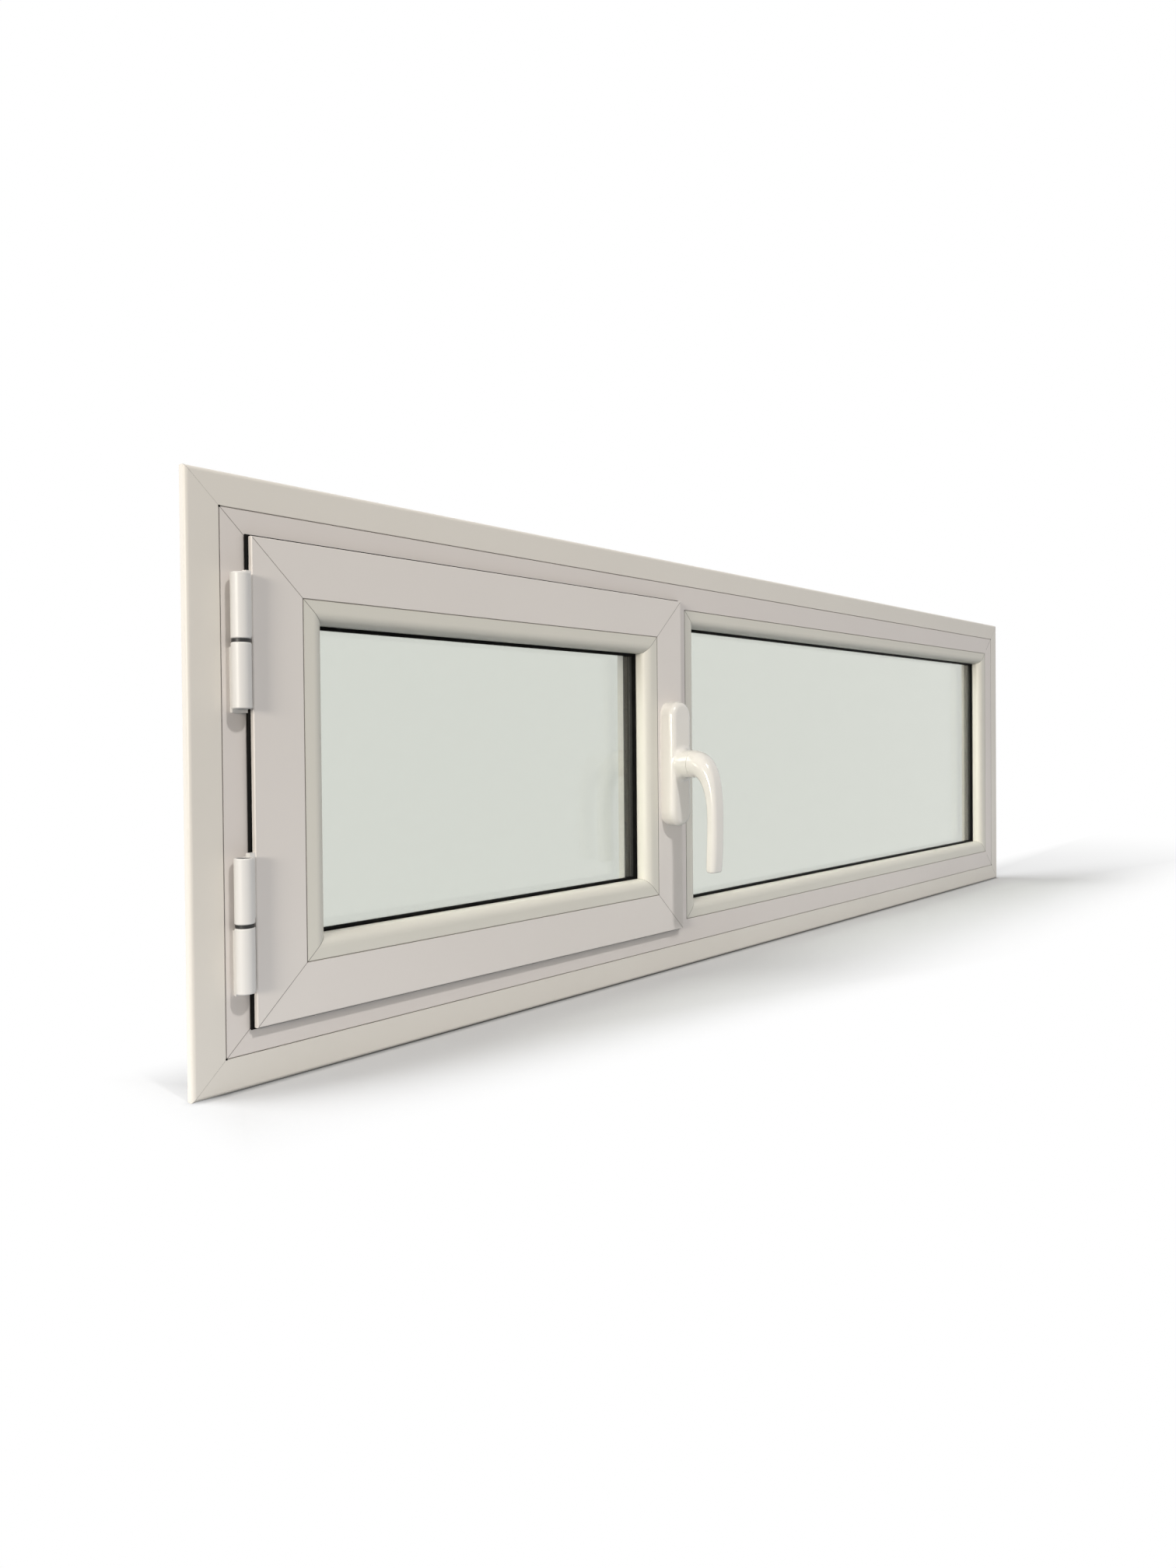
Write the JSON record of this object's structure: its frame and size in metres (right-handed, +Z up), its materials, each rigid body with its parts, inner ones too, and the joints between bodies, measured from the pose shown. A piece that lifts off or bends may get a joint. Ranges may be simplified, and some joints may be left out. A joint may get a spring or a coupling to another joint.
{
  "type": "aluminium window",
  "caption": "White aluminium window with a side-hung sash on barrel hinges beside a fixed light, with rounded glazing beads, wall trim and a turning lever handle.",
  "frame": {"origin": "middle of the flat seat under the frame's sill, which beds on the wall opening", "axes": "+X to the right seen from the room, along the window; +Y from the room to the outside; +Z up"},
  "size_m": [1.64, 0.1274, 0.5],
  "materials": {
    "trim_paint": "satin white powder coat",
    "frame_paint": "satin white powder coat",
    "bead_paint": "satin white powder coat",
    "gasket_rubber": "black extruded rubber",
    "glass": "clear float glass",
    "spacer_aluminium": "dull grey anodised",
    "hinge_paint": "gloss white paint",
    "washer_plastic": "black nylon",
    "pin_steel": "dark steel",
    "handle_paint": "gloss white paint"
  },
  "bodies": {
    "window": {"trim_top": "trim_paint", "trim_bottom": "trim_paint", "trim_left": "trim_paint", "trim_right": "trim_paint", "frame_head": "frame_paint", "frame_sill": "frame_paint", "frame_left_jamb": "frame_paint", "frame_right_jamb": "frame_paint", "mullion": "frame_paint", "sash_top_rail": "frame_paint", "sash_bottom_rail": "frame_paint", "sash_hinge_stile": "frame_paint", "sash_lock_stile": "frame_paint", "sash_bead_top": "bead_paint", "sash_bead_bottom": "bead_paint", "sash_bead_left": "bead_paint", "sash_bead_right": "bead_paint", "sash_inner_gasket": "gasket_rubber", "sash_outer_gasket": "gasket_rubber", "sash_inner_pane": "glass", "sash_outer_pane": "glass", "sash_spacer": "spacer_aluminium", "fixed_bead_top": "bead_paint", "fixed_bead_bottom": "bead_paint", "fixed_bead_left": "bead_paint", "fixed_bead_right": "bead_paint", "fixed_inner_gasket": "gasket_rubber", "fixed_outer_gasket": "gasket_rubber", "fixed_inner_pane": "glass", "fixed_outer_pane": "glass", "fixed_spacer": "spacer_aluminium", "sash_stop_strip": "gasket_rubber", "upper_hinge_sash_knuckle": "hinge_paint", "upper_hinge_frame_knuckle": "hinge_paint", "upper_hinge_washer": "washer_plastic", "upper_hinge_pin": "pin_steel", "lower_hinge_sash_knuckle": "hinge_paint", "lower_hinge_frame_knuckle": "hinge_paint", "lower_hinge_washer": "washer_plastic", "lower_hinge_pin": "pin_steel", "handle_base": "handle_paint"},
    "handle_lever": {"handle_lever": "handle_paint"}
  },
  "joints": [
    {"name": "handle_turn", "type": "hinge", "parent": "window", "child": "handle_lever", "pos_m": [-0.2306, -0.0742, 0.224], "axis": [0, 1, 0], "range_deg": [0, 90]}
  ]
}
